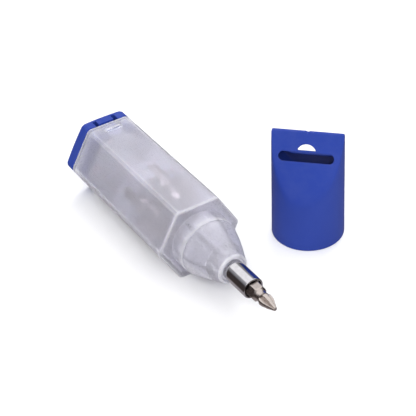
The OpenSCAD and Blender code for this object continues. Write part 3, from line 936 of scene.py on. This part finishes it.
def plastic(name, colour, worn_and_lit_colour, roughness, grain, bump, flow, wear, dust,
            edges=(0.52, 0.60, 0.9), glow=0.0, **constants):
    """Moulded plastic: grain and flow shading, lighter edges, a trace of dust. The lighter edges are scuffing
    on the rack and a painted highlight along the frosted moulding's ridges and rings. glow is the strength of
    a painted highlight that its edges give off as emission, in place of the light that a clear moulding
    gathers in them."""
    material, t, shader = finish_of(name, **constants)
    grained = placed(t, GRAIN, Colour=colour, Flow=flow, Roughness=roughness, Grain_size=grain)
    # lighter edges: scuffing on the rack, a painted highlight on the frosted moulding
    rubbed_and_lit = placed(t, EDGE_WEAR_AND_HIGHLIGHT, Worn_colour=worn_and_lit_colour, Amount=wear, From=edges[0], To=edges[1], Fade=edges[2])
    dusty = placed(t, DUST, Amount=dust)
    # painted highlight: the edge mask gives off light as emission, though the moulding is no lamp
    if glow:
        lit = t.mix(rubbed_and_lit.outputs["Mask"], (0, 0, 0, 1), (glow, glow, glow * 1.04, 1))
        t.link(lit, shader.inputs["Emission Color"])
        shader.inputs["Emission Strength"].default_value = 1.0
    t.link(grained.outputs["Colour"], rubbed_and_lit.inputs["Colour"])
    t.link(rubbed_and_lit.outputs["Colour"], dusty.inputs["Colour"])
    t.link(grained.outputs["Roughness"], dusty.inputs["Roughness"])
    t.link(dusty.outputs["Colour"], shader.inputs["Base Color"])
    t.link(dusty.outputs["Roughness"], shader.inputs["Roughness"])
    bumped(t, shader, grained.outputs["Height"], bump, 0.00004)
    return material


def metal(name, colour, worn_and_lit_colour, roughness, spread, drawn, bump, wear, **constants):
    """Bare or plated metal: drawn-out scratches, cloudy tint, brighter rubbed edges."""
    material, t, shader = finish_of(name, Metallic=1.0, **constants)
    lines = placed(t, SCRATCH, Roughness=roughness, Spread=spread, Drawn_out=drawn)
    rubbed_and_lit = placed(t, EDGE_WEAR_AND_HIGHLIGHT, Colour=colour, Worn_colour=worn_and_lit_colour, Amount=wear)
    clouds = t.add("ShaderNodeCombineColor")
    for socket in clouds.inputs:
        t.link(lines.outputs["Shade"], socket)
    t.link(t.mix(1.0, rubbed_and_lit.outputs["Colour"], clouds.outputs[0], "MULTIPLY"), shader.inputs["Base Color"])
    t.link(lines.outputs["Roughness"], shader.inputs["Roughness"])
    bumped(t, shader, lines.outputs["Height"], bump, 0.00002)
    return material


# frosted moulding: its lighter edges and their emission glow are a painted highlight along its ridges and
# rings
FROSTED = plastic("frosted_clear_plastic", (0.86, 0.85, 0.93, 1), (0.94, 0.94, 0.98, 1), roughness=0.30,
                  grain=0.25, bump=0.25, flow=0.25, wear=1.0, dust=0.0, edges=(0.503, 0.515, 0.535),
                  glow=0.15, IOR=1.42, Transmission_Weight=0.78)
BLUE = plastic("moulded_blue_plastic", (0.024, 0.053, 0.315, 1), (0.05, 0.10, 0.45, 1), roughness=0.45,
               grain=0.22, bump=0.18, flow=0.35, wear=0.0, dust=0.03, IOR=1.45, Specular_IOR_Level=0.2)
NATURAL = plastic("natural_rack_plastic", (0.66, 0.66, 0.70, 1), (0.95, 0.95, 0.95, 1), roughness=0.46,
                  grain=0.3, bump=0.2, flow=0.2, wear=0.3, dust=0.0, IOR=1.49, Subsurface_Weight=0.25,
                  Subsurface_Scale=0.003)
CHROME = metal("polished_chrome", (0.60, 0.59, 0.61, 1), (0.95, 0.95, 0.96, 1), roughness=0.075,
               spread=0.03, drawn=0.03, bump=0.02, wear=0.3)
SATIN = metal("satin_nickel_bits", (0.54, 0.48, 0.45, 1), (0.74, 0.69, 0.66, 1), roughness=0.27,
              spread=0.06, drawn=0.08, bump=0.10, wear=0.5)
STEEL = metal("turned_holder_steel", (0.56, 0.55, 0.54, 1), (0.75, 0.74, 0.72, 1), roughness=0.32,
              spread=0.10, drawn=0.06, bump=0.10, wear=0.4)
SPRING = metal("spring_ring_steel", (0.66, 0.65, 0.62, 1), (0.85, 0.84, 0.80, 1), roughness=0.24,
               spread=0.06, drawn=0.2, bump=0.06, wear=0.4)
MAGNET = metal("magnet_nickel_plate", (0.72, 0.71, 0.69, 1), (0.86, 0.85, 0.82, 1), roughness=0.16,
               spread=0.05, drawn=0.5, bump=0.05, wear=0.5)


def dress(piece, material, body, slot_name, *nodes):
    """Gives a piece its finish, the body that it rides on and the CAD nodes that it replaces. slot_name is
    not used.
    """
    piece.data.materials.clear()
    piece.data.materials.append(material)
    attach(piece, body)
    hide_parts(*nodes)


dress(handle_moulding(), FROSTED, "handle", "clear_plastic", "handle_shell")
dress(end_cap_moulding(), BLUE, "magazine", "blue_plastic", "end_cap")
dress(softened("latch_tongue_top", "tongue_top_moulding", 0.18), BLUE,
      "tongue_top", "blue_plastic", "latch_tongue_top")
dress(softened("latch_tongue_bottom", "tongue_bottom_moulding", 0.18), BLUE,
      "tongue_bottom", "blue_plastic", "latch_tongue_bottom")
dress(nose_cap_moulding(), BLUE, "hood", "blue_plastic", "nose_cap")
dress(softened("bit_rack", "rack_moulding", 0.15), NATURAL, "magazine", "natural_plastic", "bit_rack")
dress(chromed_tube(), CHROME, "handle", "chrome_tube", "holder_tube")
dress(softened("holder_shank", "shank_turning", 0.12), STEEL, "handle", "holder_steel", "holder_shank")
dress(softened("hex_socket", "socket_bush", 0.1), STEEL, "handle", "holder_steel", "hex_socket")
dress(magnet_disc(), MAGNET, "handle", "magnet_nickel", "bit_magnet")
dress(softened("bit_clip", "spring_ring", 0.08), SPRING, "handle", "spring_steel", "bit_clip")
dress(fitted_bit(), SATIN, "fitted_bit", "bit_steel", "driver_bit")
for flat, kind in enumerate(BIT_POINTS):
    dress(stored_bit(kind, flat), SATIN, "stored_" + kind, "bit_steel", "bit_" + kind)


# ---------------------------------------------------------------- stage, light and camera

def pale_floor():
    """Plain floor, its surface just under the part, very slightly uneven in tone."""
    half, n = 2000.0, 9
    x, y = np.meshgrid(np.linspace(-half, half, n), np.linspace(-half, half, n))
    points = np.stack([x, y, 0 * x - 0.02], -1).reshape(-1, 3)
    i = (np.arange(n - 1)[:, None] * n + np.arange(n - 1)).ravel()
    quads = np.stack([i, i + 1, i + n + 1, i + n], -1)
    floor = new_object("floor", [(points, quads, np.zeros((0, 3), int))])
    material, t, shader = finish_of("pale_floor", Roughness=0.6, Specular_IOR_Level=0.25)
    grained = placed(t, GRAIN, Colour=(0.93, 0.93, 0.93, 1), Flow=0.03, Roughness=0.6, Grain_size=2.0)
    t.link(grained.outputs["Colour"], shader.inputs["Base Color"])
    floor.data.materials.append(material)
    floor.visible_glossy = False


def soft_box(name, place, size, power):
    """Rectangular soft light that looks at the origin; polished faces don't show it."""
    light = bpy.data.lights.new(name, "AREA")
    light.shape, light.size, light.size_y, light.energy = "RECTANGLE", size[0], size[1], power
    lamp = bpy.data.objects.new(name, light)
    away = np.array(place) / np.linalg.norm(place)
    across = np.cross([0, 0, 1.0], away)
    across = across / np.linalg.norm(across)
    turn = Matrix(np.stack([across, np.cross(away, across), away], axis=1).tolist()).to_4x4()
    lamp.matrix_world = Matrix.Translation(place) @ turn
    lamp.visible_glossy = False
    bpy.context.collection.objects.link(lamp)


def studio_sky(stops):
    """World light that depends on height alone; the camera itself sees it white. stops are pairs of
    (height of the direction, colour)."""
    world = bpy.data.worlds.new("studio sky")
    bpy.context.scene.world = world
    world.use_nodes = True
    t = Tree(world.node_tree)
    parts = t.add("ShaderNodeSeparateXYZ")
    t.link(t.add("ShaderNodeTexCoord").outputs["Generated"], parts.inputs[0])
    ramp = t.add("ShaderNodeValToRGB")
    elements = ramp.color_ramp.elements
    for element, (height, colour) in zip(elements, (stops[0], stops[-1])):
        element.position, element.color = (height + 1) / 2, (*colour, 1)
    for height, colour in stops[1:-1]:
        elements.new((height + 1) / 2).color = (*colour, 1)
    t.link(t.span(parts.outputs["Z"], -1.0, 1.0, 0.0, 1.0), ramp.inputs["Fac"])
    looked_at = t.add("ShaderNodeLightPath").outputs["Is Camera Ray"]
    seen = t.mix(looked_at, ramp.outputs["Color"], (1.0, 1.0, 1.0, 1))
    t.link(seen, world.node_tree.nodes["Background"].inputs["Color"])


def camera():
    """Camera from its place, the point it looks at and its roll; its axes are worked out from these."""
    place, target = np.array([-0.24699, -0.45555, 0.40135]), np.array([0.02547, -0.00263, 0.0])
    roll, focal, frame_width = math.radians(-2.87), 1500, 416
    forward = (target - place) / np.linalg.norm(target - place)
    level = np.cross(forward, [0, 0, 1.0])
    level = level / np.linalg.norm(level)
    above = np.cross(level, forward)
    right = math.cos(roll) * level + math.sin(roll) * above
    up = math.cos(roll) * above - math.sin(roll) * level
    lens = bpy.data.cameras.new("camera")
    lens.sensor_width, lens.lens = 36.0, 36.0 * focal / frame_width
    lens.clip_start, lens.clip_end = 0.05, 20
    eye = bpy.data.objects.new("camera", lens)
    turn = Matrix(np.stack([right, up, -forward], axis=1).tolist()).to_4x4()
    eye.matrix_world = Matrix.Translation(place.tolist()) @ turn
    bpy.context.collection.objects.link(eye)
    bpy.context.scene.camera = eye


pale_floor()
studio_sky([(-1.0, (0.50, 0.47, 0.49)), (-0.62, (0.42, 0.39, 0.41)), (-0.5, (0.07, 0.055, 0.05)),
            (0.20, (0.06, 0.05, 0.05)), (0.40, (0.32, 0.32, 0.34)), (0.58, (0.5, 0.5, 0.52)),
            (0.64, (1.4, 1.4, 1.41)), (1.0, (1.4, 1.4, 1.41))])
soft_box("key", (0.75, 0.55, 1.1), (0.7, 0.6), 6.0)
soft_box("fill", (-0.5, -0.9, 0.9), (0.5, 0.5), 9.0)
camera()
bpy.context.scene.view_settings.view_transform = "Standard"
